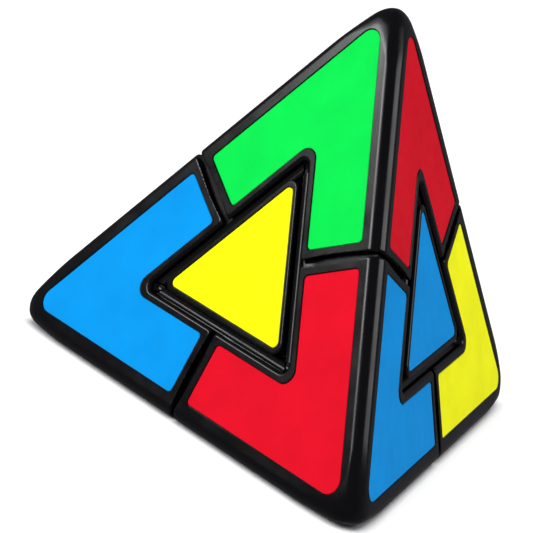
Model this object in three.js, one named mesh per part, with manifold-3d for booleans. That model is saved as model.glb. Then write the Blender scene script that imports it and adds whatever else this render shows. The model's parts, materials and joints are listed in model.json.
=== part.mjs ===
// Tetrahedral twisty puzzle: four corners that turn about a hidden core, four face centres,
// six hidden edge pieces, and the screws, washers and springs that hold it together.
// Millimetres, +Z up. It rests on one face, whose centre is the origin.
import * as THREE from 'three';
import { ConvexGeometry } from 'three/addons/geometries/ConvexGeometry.js';
import { mergeVertices } from 'three/addons/utils/BufferGeometryUtils.js';
import Module from 'manifold-3d';

const wasm = await Module();
wasm.setup();

// ---------------------------------------------------------------- driving dimensions
const sharpEdge = 106; // edge of the tetrahedron before its edges and tips are rounded
const edgeRadius = 2.2; // rounding along the six edges
const tipCut = 3.6; // how far each tip is shortened along the edges
const tipRadius = 3.5; // rounding of the shortened tips
const gap = 0.3; // clearance between neighbouring pieces

// outlines on a face, as distances in from the face's sharp edges
const armInset = 18.6; // inner wall of the corners' arms
const cutInset = 19.95; // where the turning surface meets the face
const plateauInset = 20.3; // side of the raised plateau
const centreStickerInset = 21.5;
const chevronOuterInset = 4.75;
const chevronInnerInset = 16.8;
const chevronEndInset = 2.45; // from the gap between two corners
const chevronTipRadius = 2.4;
const chevronEndRadius = 0.8;
const armRadius = 1.3;
const plateauRadius = 1.9;
const centreStickerRadius = 1.0;

// depths below a face
const stickerDepth = 0.15; // sticker's top face
const stickerThickness = 0.35;
const recessDepth = stickerDepth + stickerThickness + gap;
const recessMargin = 0.25; // between a sticker and the wall round it
const moatDepth = 1.8;
const shellThickness = 2.6;
const capThickness = 4.5;
const edgePieceDepth = 1.3; // the hidden edge pieces close the gaps from here down

// core and its fasteners, as distances from the core's centre along an axis
const coreRadius = 11;
const postRadius = 2.6;
const postEnd = 17;
const screwRadius = 1.25;
const screwStart = 6;
const springStart = 23.3;
const springEnd = 30.4;
const springRadius = 2.3;
const springWireRadius = 0.3;
const springTurns = 5;
const washerRadius = 3;
const washerThickness = 0.8;
const headRadius = 2.75;
const headHeight = 2.4;
const headSlotDepth = 1.1;
const headSlotWidth = 0.7;
const pocketRadius = 3.4;
const baseEnd = 40;
const baseClearanceRadius = 8;
const layerStepRadius = 16.5; // inside it the layers stop short of the posts
const layerStepHeight = -1;

const pastEdge = 1.4; // the layers run this many times as far as the gap at an edge
const proud = 1; // cutters stand this far out of a face

// smoothness
const weldDistance = 1e-5;
const latheSegments = 36;
const boreSegments = 16;
const ballRings = 12;
const sideSegments = 3;
const outsideSegments = 3;
const outlineSegments = 2;
const coilSteps = 8; // per turn
const wireSegments = 3;

// ---------------------------------------------------------------- derived sizes
const faceMedian = sharpEdge * Math.sqrt(3) / 2;
const faceInradius = faceMedian / 3;
const tipDistance = sharpEdge * Math.sqrt(6) / 4; // from the core's centre to a sharp tip
const faceDistance = tipDistance / 3; // from the core's centre to a face
const coreCentre = new THREE.Vector3(0, 0, faceDistance);
const washerStart = springEnd + gap;
const headStart = washerStart + washerThickness + gap;

const axisAt = (degrees) => {
  const angle = THREE.MathUtils.degToRad(degrees);
  const reach = Math.sqrt(8) / 3;
  return new THREE.Vector3(reach * Math.cos(angle), reach * Math.sin(angle), -1 / 3);
};
const corners = {
  top: new THREE.Vector3(0, 0, 1),
  left: axisAt(150),
  front: axisAt(270),
  right: axisAt(30),
};
const cornerNames = Object.keys(corners);
const edgePairs = cornerNames.flatMap((first, i) =>
  cornerNames.slice(i + 1).map((second) => [first, second]));
const faces = cornerNames.map((opposite) => cornerNames.filter((name) => name !== opposite)).reverse();

// ---------------------------------------------------------------- materials
const plastic = (color, roughness) => new THREE.MeshStandardMaterial({ color, roughness, metalness: 0 });
const metal = (color, roughness) => new THREE.MeshStandardMaterial({ color, roughness, metalness: 1 });
const blackPlastic = () => plastic(0x17171a, 0.25);
const greyPlastic = () => plastic(0x8c8f94, 0.5);
const steel = () => metal(0xb4b6b8, 0.35);
const stickerColours = { green: 0x0cf258, red: 0xf0172c, yellow: 0xfdfe1c, blue: 0x01aaf6 };
const sticker = (colour) => plastic(stickerColours[colour], 0.45);

// ---------------------------------------------------------------- solids
// Turns a closed geometry into a solid that can be joined and cut.
function solid(geometry) {
  const bare = geometry.clone();
  bare.deleteAttribute('normal');
  bare.deleteAttribute('uv');
  const merged = mergeVertices(bare, weldDistance);
  const vertProperties = new Float32Array(merged.attributes.position.array);
  const triVerts = new Uint32Array(merged.index.array);
  return new wasm.Manifold(new wasm.Mesh({ numProp: 3, vertProperties, triVerts }));
}

function meshOf(name, shape, material) {
  const { vertProperties, triVerts } = shape.getMesh();
  const geometry = new THREE.BufferGeometry();
  geometry.setAttribute('position', new THREE.BufferAttribute(new Float32Array(vertProperties), 3));
  geometry.setIndex(new THREE.BufferAttribute(new Uint32Array(triVerts), 1));
  geometry.computeVertexNormals();
  const mesh = new THREE.Mesh(geometry, material);
  mesh.name = name;
  return mesh;
}

// Places a geometry whose Y axis is a corner's axis, measured from the core's centre.
function onAxis(geometry, axis) {
  const turn = new THREE.Quaternion().setFromUnitVectors(new THREE.Vector3(0, 1, 0), axis);
  return geometry.applyQuaternion(turn).translate(...coreCentre);
}

// A round solid about a corner's axis, from [radius, distance] points that start and end on the axis.
function turned(profile, axis, segments = latheSegments) {
  const points = profile.map(([radius, distance]) => new THREE.Vector2(radius, distance));
  return solid(onAxis(new THREE.LatheGeometry(points, segments), axis));
}

const rod = (radius, start, end, axis, segments = boreSegments) =>
  turned([[0, start], [radius, start], [radius, end], [0, end]], axis, segments);

const ball = (radius) =>
  solid(new THREE.SphereGeometry(radius, 2 * ballRings, ballRings).translate(...coreCentre));

// A sharp tetrahedron whose faces lie a given depth below the puzzle's faces.
function insetTetrahedron(depth) {
  const reach = tipDistance - 3 * depth;
  const points = cornerNames.map((name) => corners[name].clone().multiplyScalar(reach).add(coreCentre));
  return solid(new ConvexGeometry(points));
}

// The whole puzzle's outside: a tetrahedron with rounded edges and blunted, rounded tips.
function outsideShape() {
  const points = [];
  const addBall = (centre, radius, directions) => {
    directions.forEach((direction) => points.push(direction.clone().multiplyScalar(radius).add(centre)));
  };
  const onCornerAxis = (name, radius) =>
    corners[name].clone().multiplyScalar(tipDistance - 3 * radius).add(coreCentre);
  for (const name of cornerNames) {
    const others = cornerNames.filter((other) => other !== name);
    const normals = others.map((other) => corners[other].clone().negate());
    const directions = [corners[name].clone()];
    normals.forEach((from, i) => {
      const to = normals[(i + 1) % normals.length];
      for (let step = 0; step < outsideSegments; step += 1) {
        directions.push(from.clone().lerp(to, step / outsideSegments).normalize());
      }
      directions.push(from.clone().add(to).normalize().add(corners[name]).normalize());
    });
    addBall(onCornerAxis(name, tipRadius), tipRadius, directions);
    for (const other of others) {
      const along = corners[other].clone().sub(corners[name]).normalize();
      addBall(onCornerAxis(name, edgeRadius).addScaledVector(along, tipCut), edgeRadius, directions);
    }
  }
  return solid(new ConvexGeometry(points));
}

// ---------------------------------------------------------------- outlines on a face
// A face's own coordinates have their origin at its centre and +Y toward one of its tips.
// A point beside the right-hand edge is given by its way from the edge's middle toward
// the tip, and by its distance in from the edge.
function besideEdge(towardTip, inset) {
  const slope = new THREE.Vector2(-0.5, Math.sqrt(3) / 2);
  const inward = new THREE.Vector2(-Math.sqrt(3) / 2, -0.5);
  const middle = inward.clone().multiplyScalar(-faceInradius);
  return middle.addScaledVector(slope, towardTip).addScaledVector(inward, inset);
}

// A closed outline through the given corners, each rounded by its own radius.
function roundedShape(points, radii) {
  const shape = new THREE.Shape();
  points.forEach((corner, i) => {
    const toPrevious = points.at(i - 1).clone().sub(corner).normalize();
    const toNext = points[(i + 1) % points.length].clone().sub(corner).normalize();
    const halfAngle = Math.acos(toPrevious.dot(toNext)) / 2;
    const start = corner.clone().addScaledVector(toPrevious, radii[i] / Math.tan(halfAngle));
    const middle = toPrevious.clone().add(toNext).normalize();
    const centre = corner.clone().addScaledVector(middle, radii[i] / Math.sin(halfAngle));
    const end = corner.clone().addScaledVector(toNext, radii[i] / Math.tan(halfAngle));
    const clockwise = toPrevious.cross(toNext) > 0;
    if (i === 0) shape.moveTo(start.x, start.y);
    else shape.lineTo(start.x, start.y);
    const from = start.sub(centre).angle();
    const to = end.sub(centre).angle();
    shape.absarc(centre.x, centre.y, radii[i], from, to, clockwise);
  });
  return shape;
}

function triangleShape(inset, radius) {
  const reach = 2 * (faceInradius - inset);
  const points = [90, 210, 330].map((degrees) => {
    const angle = THREE.MathUtils.degToRad(degrees);
    return new THREE.Vector2(reach * Math.cos(angle), reach * Math.sin(angle));
  });
  return roundedShape(points, [radius, radius, radius]);
}

function chevronShape(margin) {
  const outer = chevronOuterInset - margin;
  const inner = chevronInnerInset + margin;
  const end = chevronEndInset - margin;
  const tip = new THREE.Vector2(0, 2 * (faceInradius - outer));
  const notch = new THREE.Vector2(0, 2 * (faceInradius - inner));
  const rightEnds = [besideEdge(end, inner), besideEdge(end, outer)];
  const leftEnds = rightEnds.map((point) => new THREE.Vector2(-point.x, point.y)).reverse();
  const tipRadius = chevronTipRadius + margin;
  const notchRadius = chevronTipRadius - margin;
  const endRadius = chevronEndRadius + margin;
  return roundedShape(
    [tip, ...leftEnds, notch, ...rightEnds],
    [tipRadius, endRadius, endRadius, notchRadius, endRadius, endRadius],
  );
}

// A plate cut along an outline, lying between two depths below the face, and turned so
// that the outline's +Y points to the given corner.
function plate(shape, top, bottom, face, toward) {
  const opposite = cornerNames.find((name) => !face.includes(name));
  const normal = corners[opposite].clone().negate();
  const up = corners[toward].clone().projectOnPlane(normal).normalize();
  const across = up.clone().cross(normal);
  const centre = coreCentre.clone().addScaledVector(normal, faceDistance - bottom);
  const place = new THREE.Matrix4().makeBasis(across, up, normal).setPosition(centre);
  const options = { depth: bottom - top, bevelEnabled: false, curveSegments: outlineSegments };
  return solid(new THREE.ExtrudeGeometry(shape, options).applyMatrix4(place));
}

// ---------------------------------------------------------------- turning surfaces
// Everything that turns with a corner lies inside a round solid about its axis. Its
// profile runs out level from the axis, in under the arms, and out along the gap between two arms.
function layerProfile() {
  const onFace = (fromTip, sideways) => [
    Math.hypot(fromTip / 3, sideways),
    faceDistance * (3 - 4 * fromTip / faceMedian),
  ];
  const edgeMiddle = onFace(faceMedian / 2, sharpEdge / 4);
  const centreReach = 2 * (faceInradius - cutInset);
  const sideMiddle = [faceMedian / 2 + cutInset / 2, sharpEdge / 4 - cutInset * Math.sqrt(3) / 2];
  const sideEnd = [2 * faceMedian / 3 + centreReach / 2, centreReach * Math.sqrt(3) / 2];
  const side = [];
  for (let step = 0; step <= sideSegments; step += 1) {
    const way = step / sideSegments;
    side.push(onFace(
      THREE.MathUtils.lerp(sideEnd[0], sideMiddle[0], way),
      THREE.MathUtils.lerp(sideEnd[1], sideMiddle[1], way),
    ));
  }
  const beyondEdge = edgeMiddle.map((value, i) => THREE.MathUtils.lerp(side.at(-1)[i], value, pastEdge));
  return [
    [0, layerStepHeight],
    [layerStepRadius, layerStepHeight],
    [layerStepRadius, side[0][1]],
    ...side,
    beyondEdge,
    [beyondEdge[0], tipDistance],
    [0, tipDistance],
  ];
}

// The same profile with every side moved out by a distance; its ends stay on the axis.
function offsetProfile(profile, distance) {
  const points = profile.map((point) => new THREE.Vector2(...point));
  const outward = (from, to) => {
    const along = to.clone().sub(from).normalize();
    return new THREE.Vector2(along.y, -along.x);
  };
  return points.map((point, i) => {
    if (i === 0) return [0, point.y - distance];
    if (i === points.length - 1) return [0, point.y + distance];
    const before = outward(points[i - 1], point);
    const after = outward(point, points[i + 1]);
    const sum = before.add(after);
    return point.clone().addScaledVector(sum, 2 * distance / sum.lengthSq()).toArray();
  });
}

const profile = layerProfile();
const layers = {};
const otherLayers = {};
for (const name of cornerNames) {
  layers[name] = turned(offsetProfile(profile, -gap / 2), corners[name]);
  otherLayers[name] = turned(offsetProfile(profile, gap / 2), corners[name]);
}

const outside = outsideShape();

// The space that belongs to the piece which turns with exactly these corners.
function cell(names) {
  let space = outside;
  for (const name of cornerNames) {
    space = names.includes(name) ? space.intersect(layers[name]) : space.subtract(otherLayers[name]);
  }
  return space.subtract(ball(coreRadius + gap));
}

// ---------------------------------------------------------------- pieces
const puzzle = new THREE.Group();

function addCore() {
  let body = ball(coreRadius);
  for (const name of cornerNames) body = body.add(rod(postRadius, 0, postEnd, corners[name]));
  for (const name of cornerNames) {
    body = body.subtract(rod(screwRadius + gap, screwStart - gap, postEnd + gap, corners[name]));
  }
  puzzle.add(meshOf('core', body, greyPlastic()));
}

class Coil extends THREE.Curve {
  getPoint(way) {
    const angle = 2 * Math.PI * springTurns * way;
    const start = springStart + springWireRadius;
    const end = springEnd - springWireRadius;
    const height = THREE.MathUtils.lerp(start, end, way);
    return new THREE.Vector3(springRadius * Math.cos(angle), height, springRadius * Math.sin(angle));
  }
}

function addFasteners(name) {
  const axis = corners[name];
  const headEnd = headStart + headHeight;
  let screw = turned([
    [0, screwStart],
    [screwRadius, screwStart],
    [screwRadius, headStart],
    [headRadius, headStart],
    [headRadius, headStart + headHeight / 2],
    [headRadius / 2, headEnd],
    [0, headEnd],
  ], axis, boreSegments);
  for (const turn of [0, Math.PI / 2]) {
    const slot = new THREE.BoxGeometry(headSlotWidth, 2 * headSlotDepth, headRadius);
    screw = screw.subtract(solid(onAxis(slot.rotateY(turn).translate(0, headEnd, 0), axis)));
  }
  puzzle.add(meshOf(`axle_screw_${name}`, screw, steel()));

  const washerEnd = washerStart + washerThickness;
  const washer = rod(washerRadius, washerStart, washerEnd, axis)
    .subtract(rod(screwRadius + gap, washerStart - gap, washerEnd + gap, axis));
  puzzle.add(meshOf(`washer_${name}`, washer, steel()));

  const wire = new THREE.Shape().absarc(0, 0, springWireRadius, 0, 2 * Math.PI);
  const steps = coilSteps * springTurns;
  const options = { steps, extrudePath: new Coil(), curveSegments: wireSegments, bevelEnabled: false };
  const spring = solid(onAxis(new THREE.ExtrudeGeometry(wire, options), axis));
  puzzle.add(meshOf(`spring_${name}`, spring, steel()));
}

function addCorner(name) {
  const axis = corners[name];
  const space = cell([name]);
  let shell = space.subtract(insetTetrahedron(shellThickness));
  for (const face of faces.filter((tips) => tips.includes(name))) {
    shell = shell.subtract(plate(triangleShape(armInset, armRadius), -proud, moatDepth, face, name));
    shell = shell.subtract(plate(chevronShape(recessMargin), -proud, recessDepth, face, name));
  }
  puzzle.add(meshOf(`corner_shell_${name}`, shell, blackPlastic()));

  const base = space.intersect(insetTetrahedron(shellThickness + gap))
    .subtract(rod(2 * sharpEdge, baseEnd, tipDistance, axis))
    .subtract(rod(baseClearanceRadius, 0, postEnd + gap, axis))
    .subtract(rod(pocketRadius, springStart - gap, tipDistance, axis))
    .subtract(rod(screwRadius + gap, 0, tipDistance, axis));
  puzzle.add(meshOf(`corner_base_${name}`, base, blackPlastic()));
}

function addCentre(face, colour) {
  const name = face.join('_');
  const toward = face[0];
  const space = cell(face);
  const plateau = triangleShape(plateauInset, plateauRadius);
  const moat = plate(triangleShape(armInset, armRadius), -proud, moatDepth, face, toward)
    .subtract(plate(plateau, -2 * proud, moatDepth + proud, face, toward));
  const recess = plate(
    triangleShape(centreStickerInset - recessMargin, centreStickerRadius + recessMargin),
    -proud, recessDepth, face, toward,
  );
  const cap = space.subtract(insetTetrahedron(capThickness)).subtract(moat).subtract(recess);
  puzzle.add(meshOf(`centre_cap_${name}`, cap, blackPlastic()));
  const foot = space.intersect(insetTetrahedron(capThickness + gap));
  puzzle.add(meshOf(`centre_foot_${name}`, foot, blackPlastic()));

  const shape = triangleShape(centreStickerInset, centreStickerRadius);
  const label = plate(shape, stickerDepth, stickerDepth + stickerThickness, face, toward);
  puzzle.add(meshOf(`sticker_centre_${name}`, label, sticker(colour)));
}

function addEdge(pair) {
  const piece = cell(pair).intersect(insetTetrahedron(edgePieceDepth));
  puzzle.add(meshOf(`edge_${pair.join('_')}`, piece, blackPlastic()));
}

function addChevron(face, toward, colour) {
  const label = plate(chevronShape(0), stickerDepth, stickerDepth + stickerThickness, face, toward);
  puzzle.add(meshOf(`sticker_${toward}_on_${face.join('_')}`, label, sticker(colour)));
}

// Colours as scrambled: the centre's, then one for each corner in the face's order.
const colours = {
  top_left_front: ['yellow', 'green', 'blue', 'red'],
  top_front_right: ['blue', 'red', 'blue', 'yellow'],
  top_left_right: ['green', 'yellow', 'green', 'blue'],
  left_front_right: ['red', 'yellow', 'green', 'red'],
};

addCore();
for (const name of cornerNames) {
  addFasteners(name);
  addCorner(name);
}
for (const pair of edgePairs) addEdge(pair);
for (const face of faces) {
  const [centreColour, ...cornerColours] = colours[face.join('_')];
  addCentre(face, centreColour);
  face.forEach((name, i) => addChevron(face, name, cornerColours[i]));
}

export default puzzle;
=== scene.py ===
"""The pyramid twisty puzzle's looks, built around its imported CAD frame.

The corner shells and the centre caps are meshed from signed distance functions, which
gives every edge its real rounding. The wells for the stickers are then cut into them,
and the stickers are laid in the wells. The edge pieces are the CAD's, with a round channel
where they show. What lies deeper inside keeps its CAD shape.
"""

import json
import math

import bmesh
import bpy
import numpy as np
import openvdb
from mathutils import Matrix, Vector


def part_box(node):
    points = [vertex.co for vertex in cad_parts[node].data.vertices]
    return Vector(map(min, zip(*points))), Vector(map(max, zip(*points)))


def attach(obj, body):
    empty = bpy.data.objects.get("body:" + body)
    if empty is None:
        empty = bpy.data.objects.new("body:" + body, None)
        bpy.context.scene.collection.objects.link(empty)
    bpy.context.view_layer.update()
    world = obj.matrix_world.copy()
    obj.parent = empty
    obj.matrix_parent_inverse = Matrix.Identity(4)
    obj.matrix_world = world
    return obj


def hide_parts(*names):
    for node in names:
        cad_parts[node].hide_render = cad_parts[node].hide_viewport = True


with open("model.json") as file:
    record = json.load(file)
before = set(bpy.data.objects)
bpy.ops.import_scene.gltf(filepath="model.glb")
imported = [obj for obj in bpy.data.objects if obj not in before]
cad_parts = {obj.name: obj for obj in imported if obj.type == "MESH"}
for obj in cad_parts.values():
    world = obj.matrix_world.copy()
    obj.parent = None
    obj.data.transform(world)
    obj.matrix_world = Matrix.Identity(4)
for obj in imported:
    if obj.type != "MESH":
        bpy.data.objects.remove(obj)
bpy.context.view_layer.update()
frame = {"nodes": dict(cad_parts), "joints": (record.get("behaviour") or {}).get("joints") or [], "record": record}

# ---------------------------------------------------------------- the frame's directions
turn_joints = {joint["name"]: joint for joint in frame["joints"]}
CORNERS = ["top", "left", "front", "right"]
AXES = {name: np.array(turn_joints[f"turn_{name}"]["axis"], float) for name in CORNERS}
CORE = np.array(turn_joints["turn_top"]["pos_m"], float)
FACES = [[name for name in CORNERS if name != opposite] for opposite in CORNERS]

# ---------------------------------------------------------------- sizes, in metres
FACE_DISTANCE = CORE[2]  # from the core's centre to a face
TIP_DISTANCE = 3 * FACE_DISTANCE  # and to a tip, before it is rounded
EDGE = TIP_DISTANCE * 4 / math.sqrt(6)
MEDIAN = EDGE * math.sqrt(3) / 2
INRADIUS = MEDIAN / 3
MM = EDGE / 106  # one millimetre at the CAD model's size
FACE_COSINE = -1 / 3  # between two faces' normals
SIDE_COSINE = -1 / 2  # between the normals of a face's sides

# the outer form, and the gaps between the pieces
EDGE_RADIUS = 2.2 * MM
TIP_HEIGHT = TIP_DISTANCE - 7.0 * MM
TIP_RADIUS = 7 * MM
TIP_SLOPE = math.radians(48)  # between a tip's axis and the cone below its round end
TIP_ROUNDING = 2.5 * MM
CLEARANCE = 0.15 * MM  # each piece's share of the gap to its neighbour
CUT_INSET = 19.95 * MM  # where the turning surfaces meet a face
GAP_ROUNDING = 0.8 * MM

# the corner shells; an inset is how far in from the face's sharp edges a line runs
SHELL_THICKNESS = 2.6 * MM
ARM_INSET = 18.6 * MM
ARM_RADIUS = 1.3 * MM
ARM_END_RADIUS = 1.2 * MM

# the moats and the centre caps' plateaus
MOAT_DEPTH = 1.75 * MM
MOAT_WALL_ROUNDING = 1.3 * MM
MOAT_RADIUS = 0.95 * MM
GROOVE_INSET = 19.45 * MM  # the round channel along a moat's floor: its middle line
GROOVE_DEPTH = 0.5 * MM
GROOVE_RADIUS = 1.1 * MM
CAP_THICKNESS = 4.5 * MM
CAP_CORNER_RADIUS = 0.9 * MM
PLATEAU_INSET = 20.3 * MM
PLATEAU_RADIUS = 1.9 * MM
PLATEAU_ROUNDING = 0.45 * MM

# the stickers and their wells
CHEVRON_OUTER_INSET = 4.75 * MM
CHEVRON_INNER_INSET = 16.8 * MM
CHEVRON_END_INSET = 2.45 * MM
CHEVRON_TIP_RADIUS = 2.4 * MM
CHEVRON_END_RADIUS = 0.8 * MM
CENTRE_STICKER_INSET = 21.5 * MM
CENTRE_STICKER_RADIUS = 1.0 * MM
STICKER_DEPTH = 0.15 * MM
STICKER_THICKNESS = 0.3 * MM
STICKER_ROUNDING = 0.1 * MM
STICKER_EDGE_TURNS = np.radians([0, 30, 60, 90])
WELL_DEPTH = 0.5 * MM
WELL_MARGIN = 0.08 * MM
WELL_ROUNDING = 0.3 * MM
WELL_RIM_TURNS = np.radians([0, 20, 40, 60])

# the meshes
FULL_VOXEL = 0.25 * MM
VOXEL = FULL_VOXEL
BLOCKS_AT_ONCE = 400
NEAR_BLOCK = 2.2  # in half sides of a block, which is more than its half diagonal
SLOPE_STEP = FULL_VOXEL / 20
GENTLEST_SLOPE = 0.5  # a gentler one counts as this, so that no point moves too far
CREASE_STEP = 0.05 * MM  # how far from a crease the shading is read
WELD_DISTANCE = VOXEL / 50
KEPT_FACES = 0.12  # the share that is left after thinning
FLAT_ANGLE = math.radians(0.3)  # faces that bend less than this become one
SHARP_ANGLE = math.radians(50)  # an edge that bends more is shaded as a crease
SAME_SIDE_ANGLE = math.radians(40)  # a face on the exact surface is tilted less from it
OUTLINE_SEGMENTS = 8
GROOVE_SEGMENTS = 96
TINY = 1e-9  # the least length that is divided by

# the stage; directions are azimuth and elevation in degrees
FLOOR_RADIUS = 30 * EDGE
FADE_START = 3 * EDGE  # where the floor's own glow starts
FADE_END = 9 * EDGE
FADE_GLOW = 0.35
CAMERA_SIDE = (-15.83, 17.18)
CAMERA_DISTANCE = 5.66 * EDGE
CAMERA_AIM = (-14.73, 16.74)  # it looks back along this direction
CAMERA_LEAN = math.radians(14.56)
CAMERA_LENS = 219  # for a sensor 36 wide, both in millimetres


# ---------------------------------------------------------------- distance functions
def wedge_distance(first, second, cosine):
    """Distance outside two planes whose normals' cosine is given, rounded past their edge."""
    high = np.maximum(first, second)
    low = np.minimum(first, second)
    past_edge = (high > 0) & (low > cosine * high)
    squared = (high**2 + low**2 - 2 * cosine * high * low) / (1 - cosine**2)
    return np.where(past_edge, np.sqrt(np.maximum(squared, 0)), high)


def tip_distance(planes):
    """Distance outside three planes that meet at one of the tetrahedron's tips."""
    low, middle, high = np.sort(planes, axis=0)
    edge = wedge_distance(high, middle, FACE_COSINE)
    past_edge = (high > 0) & (middle > FACE_COSINE * high)
    past_tip = past_edge & (low + (high + middle) / 2 > 0)
    total = low + middle + high
    squared = 0.75 * (low**2 + middle**2 + high**2 + total**2)
    return np.where(past_tip, np.sqrt(np.maximum(squared, 0)), edge)


def rounded_max(first, second, radius):
    """What two solids share, with their common edge rounded."""
    inside = np.minimum(np.maximum(first, second), -radius)
    return inside + np.hypot(np.maximum(first + radius, 0), np.maximum(second + radius, 0))


def unit(vectors):
    """Every row scaled to a length of one."""
    return vectors / np.maximum(np.linalg.norm(vectors, axis=1), TINY)[:, None]


def face_normal(opposite):
    """The way a face looks; a face goes by the tip it doesn't touch."""
    return -AXES[opposite]


def face_axes(opposite, toward):
    """A face's own directions: across it, up to one of its tips, and out of it."""
    normal = face_normal(opposite)
    up = AXES[toward] - normal * np.dot(AXES[toward], normal)
    up /= np.linalg.norm(up)
    return np.cross(up, normal), up, normal


def face_depth(points, opposite):
    """How far below a face points lie."""
    return FACE_DISTANCE - points @ face_normal(opposite)


def triangle_distance(points, opposite, inset, radius):
    """Distance from a rounded triangle on a face, measured along the face."""
    across, up, _ = face_axes(opposite, next(n for n in CORNERS if n != opposite))
    x, y = points @ across, points @ up
    reach = INRADIUS - inset - radius
    sides = [x * math.sin(turn) - y * math.cos(turn) - reach
             for turn in (0, 2 * math.pi / 3, -2 * math.pi / 3)]
    _, middle, high = np.sort(sides, axis=0)
    return wedge_distance(high, middle, SIDE_COSINE) - radius


def about_axis(points, corner):
    """Each point's radius about a tip's axis, and its height along it over the core."""
    height = points @ AXES[corner]
    return np.sqrt(np.maximum((points**2).sum(axis=1) - height**2, 0)), height


def on_face(from_tip, sideways):
    """Radius about a tip's axis, and height over the core, of a point on a face."""
    return math.hypot(from_tip / 3, sideways), FACE_DISTANCE * (3 - 4 * from_tip / MEDIAN)


def layer_outline(side_segments=8):
    """The turning surface's profile about a tip's axis: level, out under the arms, then up."""
    reach = 2 * (INRADIUS - CUT_INSET)
    side_end = np.array([2 * MEDIAN / 3 + reach / 2, reach * math.sqrt(3) / 2])
    side_middle = np.array([MEDIAN / 2 + CUT_INSET / 2, EDGE / 4 - CUT_INSET * math.sqrt(3) / 2])
    ways = np.linspace(0, 1, side_segments + 1)
    side = [on_face(*(side_end + way * (side_middle - side_end))) for way in ways]
    edge_middle = np.array(on_face(MEDIAN / 2, EDGE / 4))
    beyond = edge_middle + 2 * (edge_middle - side[-1])
    return np.array([(-EDGE, side[0][1]), *side, beyond, (-EDGE, beyond[1])])


LAYER = layer_outline()


def layer_distance(points, corner):
    """Signed distance from the round solid of everything that turns with a corner."""
    radius, height = about_axis(points, corner)
    nearest = np.full(len(points), np.inf)
    inside = np.zeros(len(points), bool)
    for start, end in zip(LAYER, np.roll(LAYER, -1, axis=0)):
        along = end - start
        to_x, to_y = radius - start[0], height - start[1]
        way = np.clip((to_x * along[0] + to_y * along[1]) / along.dot(along), 0, 1)
        nearest = np.minimum(nearest, np.hypot(to_x - way * along[0], to_y - way * along[1]))
        if start[1] != end[1]:
            crossing = start[0] + along[0] * (height - start[1]) / along[1]
            between = (start[1] > height) != (end[1] > height)
            inside ^= between & (radius < crossing)
    return np.where(inside, -nearest, nearest)


def nose_distance(points, corner):
    """Distance outside a cone about a tip's axis that ends in a ball."""
    radius, height = about_axis(points, corner)
    height = height - (TIP_HEIGHT - TIP_RADIUS)
    cosine, sine = math.cos(TIP_SLOPE), math.sin(TIP_SLOPE)
    cone = radius * cosine + height * sine
    on_ball = height * cosine > radius * sine
    return np.where(on_ball, np.hypot(radius, height), cone) - TIP_RADIUS


def corner_shell_distance(points):
    """The top corner's shell, about the core's centre, without the wells for its stickers."""
    others = CORNERS[1:]
    planes = np.array([-face_depth(points, opposite) for opposite in others])
    outside = tip_distance(planes + EDGE_RADIUS) - EDGE_RADIUS
    outside = rounded_max(outside, nose_distance(points, "top"), TIP_ROUNDING)

    ends = np.full(len(points), -np.inf)
    walls = np.full(len(points), -np.inf)
    for other in others:
        toward_other = AXES[other] - AXES["top"]
        toward_other /= np.linalg.norm(toward_other)
        middle = (AXES[other] + AXES["top"]) * TIP_DISTANCE / 2
        ends = np.maximum(ends, (points - middle) @ toward_other + CLEARANCE)
        moat = triangle_distance(points, other, ARM_INSET, ARM_RADIUS)
        moat = rounded_max(moat, face_depth(points, other) - MOAT_DEPTH, MOAT_WALL_ROUNDING)
        walls = np.maximum(walls, -moat)
    sides = rounded_max(ends, walls, ARM_END_RADIUS)
    shell = rounded_max(outside, sides, GAP_ROUNDING)
    for other in others:
        shell = np.maximum(shell, CLEARANCE - layer_distance(points, other))
    return np.maximum(shell, -planes.max(axis=0) - SHELL_THICKNESS)


def centre_cap_distance(points):
    """The bottom face's centre cap, about the core's centre, without its sticker's well."""
    depth = face_depth(points, "top")
    cap = np.maximum(-depth, depth - CAP_THICKNESS)
    for corner in CORNERS[1:]:
        cap = np.maximum(cap, layer_distance(points, corner) + CLEARANCE)
    cap = np.maximum(cap, triangle_distance(points, "top", CUT_INSET, CAP_CORNER_RADIUS))
    from_plateau = triangle_distance(points, "top", PLATEAU_INSET, PLATEAU_RADIUS)
    across_moat = from_plateau - MOAT_RADIUS
    below_middle = np.maximum(depth - (MOAT_DEPTH - MOAT_RADIUS), 0)
    moat = np.hypot(across_moat, below_middle) - MOAT_RADIUS
    return rounded_max(cap, -moat, PLATEAU_ROUNDING)


# ---------------------------------------------------------------- meshes
def new_object(name, bm):
    """Makes an object of a bmesh, and frees the bmesh."""
    mesh = bpy.data.meshes.new(name)
    bm.to_mesh(mesh)
    bm.free()
    piece = bpy.data.objects.new(name, mesh)
    bpy.context.scene.collection.objects.link(piece)
    return piece


def sample_blocks(distance, low, counts, block=8):
    """Distances on a grid, worked out only in the blocks that the surface may pass through."""
    counts = (np.ceil(counts / block) * block).astype(int)
    half = VOXEL * block / 2
    starts = np.stack(np.meshgrid(*[np.arange(0, n, block) for n in counts], indexing="ij"), -1)
    starts = starts.reshape(-1, 3)
    centres = distance(low + starts * VOXEL + half)
    values = np.empty(counts, np.float32)
    for start, centre in zip(starts, centres):
        i, j, k = start
        values[i:i + block, j:j + block, k:k + block] = centre
    offsets = np.stack(np.meshgrid(*[np.arange(block)] * 3, indexing="ij"), -1).reshape(-1, 3)
    near = starts[np.abs(centres) < NEAR_BLOCK * half]
    for group in np.array_split(near, max(1, len(near) // BLOCKS_AT_ONCE)):
        cells = group[:, None, :] + offsets[None, :, :]
        found = distance(low + cells.reshape(-1, 3) * VOXEL)
        flat = cells.reshape(-1, 3)
        values[flat[:, 0], flat[:, 1], flat[:, 2]] = found
    return values


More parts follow.
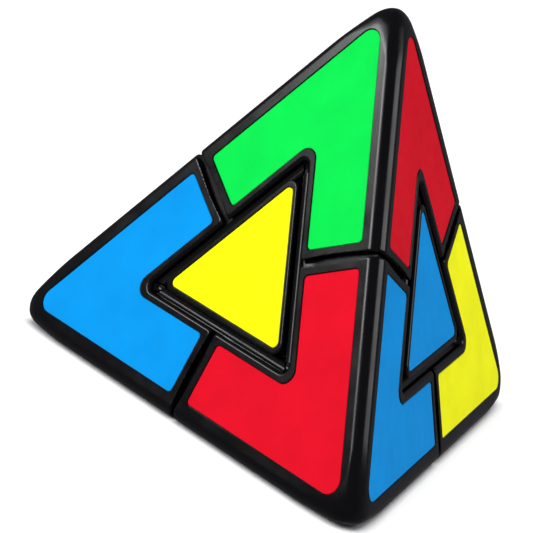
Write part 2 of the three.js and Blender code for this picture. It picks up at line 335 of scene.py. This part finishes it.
def slope_of(distance, points):
    """Which way a distance function rises, by central differences."""
    rises = [distance(points + SLOPE_STEP * axis) - distance(points - SLOPE_STEP * axis)
             for axis in np.eye(3)]
    return np.stack(rises, axis=1) / (2 * SLOPE_STEP)


def pull_to_surface(distance, points, rounds=3):
    """Moves mesh points the last fraction of a voxel, onto the exact surface."""
    for _ in range(rounds):
        here = distance(points)
        slope = slope_of(distance, points)
        steepness = np.maximum((slope**2).sum(axis=1), GENTLEST_SLOPE**2)
        move = slope * (here / steepness)[:, None]
        length = np.linalg.norm(move, axis=1)[:, None]
        points = points - move * np.minimum(1, VOXEL / np.maximum(length, TINY))
    return points


def mesh_of(name, distance, low, high):
    """A closed mesh of where a distance function is zero, in the core's own place."""
    low = np.array(low) - 2 * VOXEL
    counts = np.ceil((np.array(high) + 2 * VOXEL - low) / VOXEL)
    grid = openvdb.FloatGrid(background=float(VOXEL))
    grid.copyFromArray(sample_blocks(distance, low, counts))
    points, triangles, quads = grid.convertToPolygons(isovalue=0.0, adaptivity=0.0)
    points = pull_to_surface(distance, low + np.array(points, float) * VOXEL)
    bm = bmesh.new()
    corners = [bm.verts.new(point) for point in points]
    for indices in (*triangles, *quads):
        bm.faces.new([corners[i] for i in indices])
    bmesh.ops.remove_doubles(bm, verts=bm.verts, dist=WELD_DISTANCE)
    bmesh.ops.recalc_face_normals(bm, faces=bm.faces)
    if bm.calc_volume(signed=True) < 0:
        bmesh.ops.reverse_faces(bm, faces=bm.faces)
    return new_object(name, bm)


def modified(piece, kind, **settings):
    """Puts one modifier on a piece and keeps its result."""
    modifier = piece.modifiers.new(kind.lower(), kind)
    for name, value in settings.items():
        setattr(modifier, name, value)
    graph = bpy.context.evaluated_depsgraph_get()
    mesh = bpy.data.meshes.new_from_object(piece.evaluated_get(graph))
    piece.modifiers.clear()
    old = piece.data
    piece.data = mesh
    bpy.data.meshes.remove(old)
    return piece


def lofted(name, loops):
    """A closed mesh through loops of equally many points, flat at both ends."""
    bm = bmesh.new()
    rings = [[bm.verts.new(point) for point in loop] for loop in loops]
    for lower, upper in zip(rings, rings[1:]):
        for i in range(len(lower)):
            j = (i + 1) % len(lower)
            bm.faces.new([lower[i], lower[j], upper[j], upper[i]])
    bm.faces.new(rings[0][::-1])
    bm.faces.new(rings[-1])
    bmesh.ops.recalc_face_normals(bm, faces=bm.faces)
    return new_object(name, bm)


# ---------------------------------------------------------------- outlines on a face
def beside_edge(toward_tip, inset):
    """A point by the way from the right-hand edge's middle to the tip, and the distance in."""
    inward = np.array([-math.sqrt(3) / 2, -0.5])
    return -INRADIUS * inward + toward_tip * np.array([-0.5, math.sqrt(3) / 2]) + inset * inward


def rounded_outline(corners, radii):
    """Points round an outline whose corners are rounded, each by its own radius."""
    outline = []
    for i, corner in enumerate(corners):
        to_previous = corners[i - 1] - corner
        to_next = corners[(i + 1) % len(corners)] - corner
        to_previous /= np.linalg.norm(to_previous)
        to_next /= np.linalg.norm(to_next)
        half_angle = math.acos(to_previous.dot(to_next)) / 2
        middle = (to_previous + to_next) / np.linalg.norm(to_previous + to_next)
        centre = corner + middle * radii[i] / math.sin(half_angle)
        start = corner + to_previous * radii[i] / math.tan(half_angle) - centre
        end = corner + to_next * radii[i] / math.tan(half_angle) - centre
        sweep = math.atan2(start[0] * end[1] - start[1] * end[0], start.dot(end))
        for turn in np.linspace(0, sweep, OUTLINE_SEGMENTS + 1):
            cosine, sine = math.cos(turn), math.sin(turn)
            outline.append(centre + np.array([cosine * start[0] - sine * start[1],
                                              sine * start[0] + cosine * start[1]]))
    return np.array(outline)


def chevron_outline(grow):
    """A chevron sticker's outline about the face's centre, its tip toward +Y."""
    outer = CHEVRON_OUTER_INSET - grow
    inner = CHEVRON_INNER_INSET + grow
    end = CHEVRON_END_INSET - grow
    ends = [beside_edge(end, inner), beside_edge(end, outer)]
    mirrored = [point * (-1, 1) for point in reversed(ends)]
    tip = np.array([0, 2 * (INRADIUS - outer)])
    notch = np.array([0, 2 * (INRADIUS - inner)])
    tip_radius, notch_radius = CHEVRON_TIP_RADIUS + grow, CHEVRON_TIP_RADIUS - grow
    end_radius = CHEVRON_END_RADIUS + grow
    radii = [tip_radius, end_radius, end_radius, notch_radius, end_radius, end_radius]
    return rounded_outline([tip, *mirrored, notch, *ends], radii)


def triangle_outline(grow):
    """A centre sticker's outline about the face's centre, one tip toward +Y."""
    reach = 2 * (INRADIUS - CENTRE_STICKER_INSET + grow)
    turns = [math.pi / 2 + step * 2 * math.pi / 3 for step in range(3)]
    corners = [reach * np.array([math.cos(turn), math.sin(turn)]) for turn in turns]
    return rounded_outline(corners, [CENTRE_STICKER_RADIUS + grow] * 3)


def laid_on(outline, depth, opposite, toward):
    """Takes an outline to its place below a face."""
    across, up, normal = face_axes(opposite, toward)
    flat = outline[:, :1] * across + outline[:, 1:] * up
    return CORE + flat + normal * (FACE_DISTANCE - depth)


def well_cutter(outline, opposite, toward):
    """What is cut out for a sticker: a flat-bottomed well with a rounded rim."""
    steps = [(WELL_MARGIN, WELL_DEPTH)]
    for turn in WELL_RIM_TURNS:
        grow = WELL_MARGIN + WELL_ROUNDING * (1 - math.cos(turn))
        steps.append((grow, WELL_ROUNDING * (1 - math.sin(turn))))
    grow, depth = steps[-1]
    rise = 3 * WELL_ROUNDING
    steps.append((grow + rise * math.tan(WELL_RIM_TURNS[-1]), depth - rise))
    loops = [laid_on(outline(grow), depth, opposite, toward) for grow, depth in steps]
    return lofted("well_cutter", loops)


def sticker_mesh(name, outline, opposite, toward):
    """A thin sticker with a softened upper edge."""
    bottom = STICKER_DEPTH + STICKER_THICKNESS
    steps = [(0, bottom)]
    for turn in STICKER_EDGE_TURNS:
        shrink = STICKER_ROUNDING * (1 - math.cos(turn))
        steps.append((-shrink, STICKER_DEPTH + STICKER_ROUNDING * (1 - math.sin(turn))))
    loops = [laid_on(outline(grow), depth, opposite, toward) for grow, depth in steps]
    return lofted(name, loops)


def groove_cutter(opposite, third):
    """A rod along a moat's side, on the far side of a face's centre from its third tip."""
    across, up, normal = face_axes(opposite, third)
    middle = CORE + normal * (FACE_DISTANCE - GROOVE_DEPTH) - up * (INRADIUS - GROOVE_INSET)
    turns = np.linspace(0, 2 * math.pi, GROOVE_SEGMENTS, endpoint=False)
    ring = np.outer(np.cos(turns), up) + np.outer(np.sin(turns), normal)
    circle = middle + GROOVE_RADIUS * ring
    half_length = across * EDGE / 3
    return lofted("groove_cutter", [circle - half_length, circle + half_length])


# ---------------------------------------------------------------- from one piece to its equals
def axis_frame(corner):
    """Right-handed directions that look alike from each corner, as a matrix's columns."""
    axis = AXES[corner]
    other = AXES[next(name for name in CORNERS if name != corner)]
    sideways = other - axis * other.dot(axis)
    sideways /= np.linalg.norm(sideways)
    return np.column_stack([sideways, np.cross(axis, sideways), axis])


def turned_copy(piece, name, corner):
    """A copy of a piece made about the top corner's axis, turned to another corner's."""
    turn = axis_frame(corner) @ axis_frame("top").T
    copy = bpy.data.objects.new(name, piece.data.copy())
    from_core, to_core = Matrix.Translation(CORE), Matrix.Translation(-Vector(CORE))
    copy.data.transform(from_core @ Matrix(turn).to_4x4() @ to_core)
    bpy.context.scene.collection.objects.link(copy)
    return copy


def remove(piece):
    """Takes a piece and its mesh out of the file."""
    mesh = piece.data
    bpy.data.objects.remove(piece)
    bpy.data.meshes.remove(mesh)


def finished_surface(piece, distance, cutters):
    """Thins a meshed solid, cuts its wells, and gives it the exact surface's shading."""
    piece.data.transform(Matrix.Translation(CORE))
    modified(piece, "DECIMATE", decimate_type="COLLAPSE", ratio=KEPT_FACES)
    modified(piece, "DECIMATE", decimate_type="DISSOLVE", angle_limit=FLAT_ANGLE)
    for cutter in cutters:
        modified(piece, "BOOLEAN", operation="DIFFERENCE", solver="EXACT", object=cutter)
        remove(cutter)
    smoothed(piece)
    shade_exactly(piece, distance)


def smoothed(piece):
    """Shades a piece smoothly, except over its sharp edges."""
    piece.data.shade_smooth()
    bm = bmesh.new()
    bm.from_mesh(piece.data)
    for edge in bm.edges:
        edge.smooth = not (edge.is_manifold and edge.calc_face_angle() > SHARP_ANGLE)
    bm.to_mesh(piece.data)
    bm.free()
    return modified(piece, "WEIGHTED_NORMAL", keep_sharp=True, weight=80)


def shade_exactly(piece, distance):
    """Takes the shading normals from the distance function, except in the wells."""
    mesh = piece.data
    count = len(mesh.loops)
    usual = np.empty(3 * count, np.float32)
    mesh.corner_normals.foreach_get("vector", usual)
    usual = usual.reshape(-1, 3)
    vertex_of = np.empty(count, int)
    mesh.loops.foreach_get("vertex_index", vertex_of)
    places = np.array([vertex.co for vertex in mesh.vertices])[vertex_of] - CORE
    sizes = [polygon.loop_total for polygon in mesh.polygons]
    middles = np.repeat([polygon.center for polygon in mesh.polygons], sizes, axis=0) - CORE
    faces = np.repeat([polygon.normal for polygon in mesh.polygons], sizes, axis=0)

    probes = places + unit(middles - places) * CREASE_STEP
    exact = unit(slope_of(distance, probes))
    close = np.abs(distance(probes)) < 2 * CREASE_STEP
    alike = (exact * faces).sum(axis=1) > math.cos(SAME_SIDE_ANGLE)
    normals = np.where((close & alike)[:, None], exact, usual)
    mesh.normals_split_custom_set(normals.tolist())


# ---------------------------------------------------------------- materials
def new_material(name):
    """A new material, its node tree and its shader."""
    material = bpy.data.materials.new(name)
    material.use_nodes = True
    return material, material.node_tree, material.node_tree.nodes["Principled BSDF"]


def noise(tree, scale, detail=2.0, stretch=(1, 1, 1)):
    """Noise fixed to the piece; scale is in features for each metre."""
    place = tree.nodes.new("ShaderNodeTexCoord")
    mapping = tree.nodes.new("ShaderNodeMapping")
    mapping.inputs["Scale"].default_value = stretch
    texture = tree.nodes.new("ShaderNodeTexNoise")
    texture.inputs["Scale"].default_value = scale
    texture.inputs["Detail"].default_value = detail
    tree.links.new(place.outputs["Object"], mapping.inputs["Vector"])
    tree.links.new(mapping.outputs["Vector"], texture.inputs["Vector"])
    return texture.outputs["Fac"]


def spread(tree, factor, low, high, start=0.3, end=0.7):
    """Maps a factor's range, by default the noise's usual one, onto a range of values."""
    ranged = tree.nodes.new("ShaderNodeMapRange")
    ranged.inputs["From Min"].default_value = start
    ranged.inputs["From Max"].default_value = end
    ranged.inputs["To Min"].default_value = low
    ranged.inputs["To Max"].default_value = high
    tree.links.new(factor, ranged.inputs["Value"])
    return ranged.outputs["Result"]


def tinted(tree, shader, factor, first, second):
    """Blends the base colour between two colours."""
    mix = tree.nodes.new("ShaderNodeMix")
    mix.data_type = "RGBA"
    mix.inputs["A"].default_value = (*first, 1)
    mix.inputs["B"].default_value = (*second, 1)
    tree.links.new(factor, mix.inputs["Factor"])
    tree.links.new(mix.outputs["Result"], shader.inputs["Base Color"])


def bumped(tree, shader, layers):
    """Stacks bumps, each a height, its strength, and its depth in metres."""
    normal = None
    for height, strength, distance in layers:
        bump = tree.nodes.new("ShaderNodeBump")
        bump.inputs["Strength"].default_value = strength
        bump.inputs["Distance"].default_value = distance
        tree.links.new(height, bump.inputs["Height"])
        if normal:
            tree.links.new(normal, bump.inputs["Normal"])
        normal = bump.outputs["Normal"]
    tree.links.new(normal, shader.inputs["Normal"])


def moulded_plastic(name, dark, light, roughness, grain):
    """Moulded plastic with faint flow marks and a fine grain."""
    material, tree, shader = new_material(name)
    flow = noise(tree, 45, 3)
    fine = noise(tree, 2600, 2)
    tinted(tree, shader, spread(tree, flow, 0, 1), dark, light)
    smudged = spread(tree, noise(tree, 160, 4), roughness - 0.05, roughness + 0.06)
    tree.links.new(smudged, shader.inputs["Roughness"])
    bumped(tree, shader, [(flow, 0.1, 0.3 * MM), (fine, grain, 0.05 * MM)])
    return material


def printed_vinyl(name, colour):
    """A satin sticker: its colour mottled a little, with a fine orange peel."""
    material, tree, shader = new_material(name)
    mottle = noise(tree, 120, 5)
    deep = tuple(0.9 * value for value in colour)
    tinted(tree, shader, spread(tree, mottle, 0, 1), deep, colour)
    satin = spread(tree, noise(tree, 400, 3), 0.45, 0.55)
    tree.links.new(satin, shader.inputs["Roughness"])
    shader.inputs["Specular IOR Level"].default_value = 0.04
    bumped(tree, shader, [(mottle, 0.08, 0.2 * MM), (noise(tree, 1500, 2), 0.12, 0.05 * MM)])
    return material


def plated_steel(name):
    """Zinc-plated steel with fine scratches."""
    material, tree, shader = new_material(name)
    shader.inputs["Metallic"].default_value = 1
    scratches = noise(tree, 900, 4, stretch=(1, 1, 8))
    tinted(tree, shader, spread(tree, scratches, 0, 1), (0.5, 0.5, 0.52), (0.68, 0.68, 0.68))
    tree.links.new(spread(tree, scratches, 0.25, 0.42), shader.inputs["Roughness"])
    bumped(tree, shader, [(scratches, 0.15, 0.03 * MM)])
    return material


MATERIALS = {
    "shell_plastic": moulded_plastic(
        "gloss_black_plastic", (0.0005, 0.0005, 0.0008), (0.001, 0.001, 0.0015),
        roughness=0.2, grain=0.05),
    "inner_plastic": moulded_plastic(
        "satin_black_plastic", (0.002, 0.002, 0.0025), (0.004, 0.004, 0.0045),
        roughness=0.24, grain=0.08),
    "core_plastic": moulded_plastic(
        "grey_plastic", (0.22, 0.225, 0.24), (0.28, 0.285, 0.30),
        roughness=0.45, grain=0.15),
    "steel": plated_steel("zinc_plated_steel"),
    "sticker_green": printed_vinyl("green_vinyl", (0.001, 0.69, 0.070)),
    "sticker_red": printed_vinyl("red_vinyl", (0.66, 0.003, 0.016)),
    "sticker_yellow": printed_vinyl("yellow_vinyl", (0.97, 0.975, 0.003)),
    "sticker_blue": printed_vinyl("blue_vinyl", (0.0005, 0.275, 0.72)),
}


# ---------------------------------------------------------------- the pieces
SLOTS = {part["node"]: part["material_slot"] for part in frame["record"]["subparts"]}
BODIES = {node: body for body, nodes in frame["record"]["behaviour"]["bodies"].items()
          for node in nodes}


def stands_for(piece, node):
    """Lets a piece take a CAD node's place: its body and its material, and hides the CAD node."""
    piece.data.materials.clear()
    piece.data.materials.append(MATERIALS[SLOTS[node]])
    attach(piece, BODIES[node])
    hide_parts(node)


def make_corner_shells():
    """One shell about the top's axis, and its copies on the other corners."""
    low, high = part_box("corner_shell_top")
    first = mesh_of("first_shell", corner_shell_distance, low - Vector(CORE), high - Vector(CORE))
    cutters = [well_cutter(chevron_outline, opposite, "top") for opposite in CORNERS[1:]]
    finished_surface(first, corner_shell_distance, cutters)
    for corner in CORNERS:
        shell = turned_copy(first, f"moulded_shell_{corner}", corner)
        stands_for(shell, f"corner_shell_{corner}")
    remove(first)


def make_centre_caps():
    """One cap on the bottom face, and its copies on the other faces."""
    low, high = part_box("centre_cap_left_front_right")
    first = mesh_of("first_cap", centre_cap_distance, low - Vector(CORE), high - Vector(CORE))
    finished_surface(first, centre_cap_distance, [well_cutter(triangle_outline, "top", "left")])
    for opposite, face in zip(CORNERS, FACES):
        cap = turned_copy(first, f"moulded_cap_{'_'.join(face)}", opposite)
        stands_for(cap, f"centre_cap_{'_'.join(face)}")
    remove(first)


def make_edge_pieces():
    """The CAD's edge pieces, with a round channel where they show as the moats' floor."""
    for node, cad_piece in list(frame["nodes"].items()):
        if node.startswith("edge"):
            bm = bmesh.new()
            bm.from_mesh(cad_piece.data)
            bmesh.ops.remove_doubles(bm, verts=bm.verts, dist=WELD_DISTANCE)
            piece = new_object(f"moulded_{node}", bm)
            others = [name for name in CORNERS if name not in node.split("_")]
            for opposite, third in (others, reversed(others)):
                cutter = groove_cutter(opposite, third)
                modified(piece, "BOOLEAN", operation="DIFFERENCE", solver="EXACT", object=cutter)
                remove(cutter)
            stands_for(smoothed(piece), node)


def make_stickers():
    """On each face one triangle, and a chevron toward each of its three tips."""
    for opposite, face in zip(CORNERS, FACES):
        face_name = "_".join(face)
        centre = sticker_mesh(f"vinyl_centre_{face_name}", triangle_outline, opposite, face[0])
        stands_for(smoothed(centre), f"sticker_centre_{face_name}")
        for toward in face:
            place = f"{toward}_on_{face_name}"
            chevron = sticker_mesh(f"vinyl_{place}", chevron_outline, opposite, toward)
            stands_for(smoothed(chevron), f"sticker_{place}")


def finish_inner_nodes():
    """Gives the CAD nodes that stay their materials."""
    for node, piece in frame["nodes"].items():
        if not node.startswith(("corner_shell", "centre_cap", "edge", "sticker")):
            piece.data.materials.clear()
            piece.data.materials.append(MATERIALS[SLOTS[node]])


make_corner_shells()
make_centre_caps()
make_edge_pieces()
make_stickers()
finish_inner_nodes()


# ---------------------------------------------------------------- stage, lights and camera
def direction(azimuth, elevation):
    """From the core outward, by the side it is seen from: azimuth 0 is the front."""
    azimuth, elevation = math.radians(azimuth), math.radians(elevation)
    level = math.cos(elevation)
    return Vector((math.sin(azimuth) * level, -math.cos(azimuth) * level, math.sin(elevation)))


def pale_floor():
    """Matt and near white, with a glow far out where the lamps don't reach."""
    material, tree, shader = new_material("pale_floor")
    mottle = spread(tree, noise(tree, 8, 2), 0, 1)
    tinted(tree, shader, mottle, (0.92, 0.92, 0.92), (0.94, 0.94, 0.94))
    shader.inputs["Roughness"].default_value = 0.9
    shader.inputs["Specular IOR Level"].default_value = 0.1
    place = tree.nodes.new("ShaderNodeTexCoord")
    far_out = tree.nodes.new("ShaderNodeVectorMath")
    far_out.operation = "LENGTH"
    tree.links.new(place.outputs["Object"], far_out.inputs[0])
    glow = spread(tree, far_out.outputs["Value"], 0, FADE_GLOW, FADE_START, FADE_END)
    tree.links.new(glow, shader.inputs["Emission Strength"])
    shader.inputs["Emission Color"].default_value = (1, 1, 1, 1)
    return material


def make_floor():
    """A round floor that fades into the backdrop, and is left out of reflections."""
    bm = bmesh.new()
    bmesh.ops.create_circle(bm, cap_ends=True, segments=96, radius=FLOOR_RADIUS)
    floor = new_object("floor", bm)
    floor.data.materials.append(pale_floor())
    floor.visible_glossy = False


def overhead_light(irradiance):
    """Soft light from straight above, even over the whole floor."""
    light = bpy.data.lights.new("overhead_light", "SUN")
    light.angle = math.radians(60)
    light.energy = irradiance
    lamp = bpy.data.objects.new("overhead_light", light)
    lamp.visible_glossy = False
    bpy.context.scene.collection.objects.link(lamp)


def softbox(name, azimuth, elevation, distance, size, radiance, roll=0, glossy=True):
    """A rectangular light facing the core, its size given as width and height.

    Its power is worked out from its radiance, which is how bright it looks in a reflection.
    """
    light = bpy.data.lights.new(name, "AREA")
    light.shape = "RECTANGLE"
    light.size, light.size_y = size
    light.energy = 4 * radiance * light.size * light.size_y
    lamp = bpy.data.objects.new(name, light)
    lamp.visible_glossy = glossy
    toward = direction(azimuth, elevation)
    lamp.location = Vector(CORE) + toward * distance
    facing = toward.to_track_quat("Z", "Y").to_matrix().to_4x4()
    lamp.rotation_euler = (facing @ Matrix.Rotation(math.radians(roll), 4, "Z")).to_euler()
    bpy.context.scene.collection.objects.link(lamp)


def make_backdrop():
    """White to the camera, but dark in reflections, as a studio is behind its lamps."""
    world = bpy.data.worlds.new("studio")
    world.use_nodes = True
    tree = world.node_tree
    rays = tree.nodes.new("ShaderNodeLightPath")
    mix = tree.nodes.new("ShaderNodeMix")
    mix.data_type = "RGBA"
    mix.inputs["A"].default_value = (0.1, 0.1, 0.11, 1)
    mix.inputs["B"].default_value = (1, 1, 1, 1)
    tree.links.new(rays.outputs["Is Camera Ray"], mix.inputs["Factor"])
    tree.links.new(mix.outputs["Result"], tree.nodes["Background"].inputs["Color"])
    bpy.context.scene.world = world


def make_lights():
    """Broad lamps for the colours, and narrower ones that the black plastic shows."""
    overhead_light(3.0)
    softbox("left_softbox", -70, 40, 8 * EDGE, (6 * EDGE, 6 * EDGE), 1.8, glossy=False)
    softbox("left_haze", -98, 26, 8.2 * EDGE, (6 * EDGE, 2.9 * EDGE), 0.9)
    softbox("left_strip", -96, 24, 8 * EDGE, (4 * EDGE, 1.3 * EDGE), 5)
    softbox("right_strip", 70, 37, 8 * EDGE, (6.5 * EDGE, 2.3 * EDGE), 1.8, roll=-34)


def make_camera():
    """Looks at the edge between the two nearer faces, leaning over to the left."""
    camera = bpy.data.cameras.new("camera")
    camera.lens = CAMERA_LENS
    camera.sensor_width = 36
    camera.clip_end = 100 * EDGE
    eye = bpy.data.objects.new("camera", camera)
    eye.location = Vector(CORE) + direction(*CAMERA_SIDE) * CAMERA_DISTANCE
    level_view = direction(*CAMERA_AIM).to_track_quat("Z", "Y").to_matrix().to_4x4()
    eye.rotation_euler = (level_view @ Matrix.Rotation(CAMERA_LEAN, 4, "Z")).to_euler()
    bpy.context.scene.collection.objects.link(eye)
    bpy.context.scene.camera = eye


make_floor()
make_backdrop()
make_lights()
make_camera()
bpy.context.scene.view_settings.view_transform = "Standard"
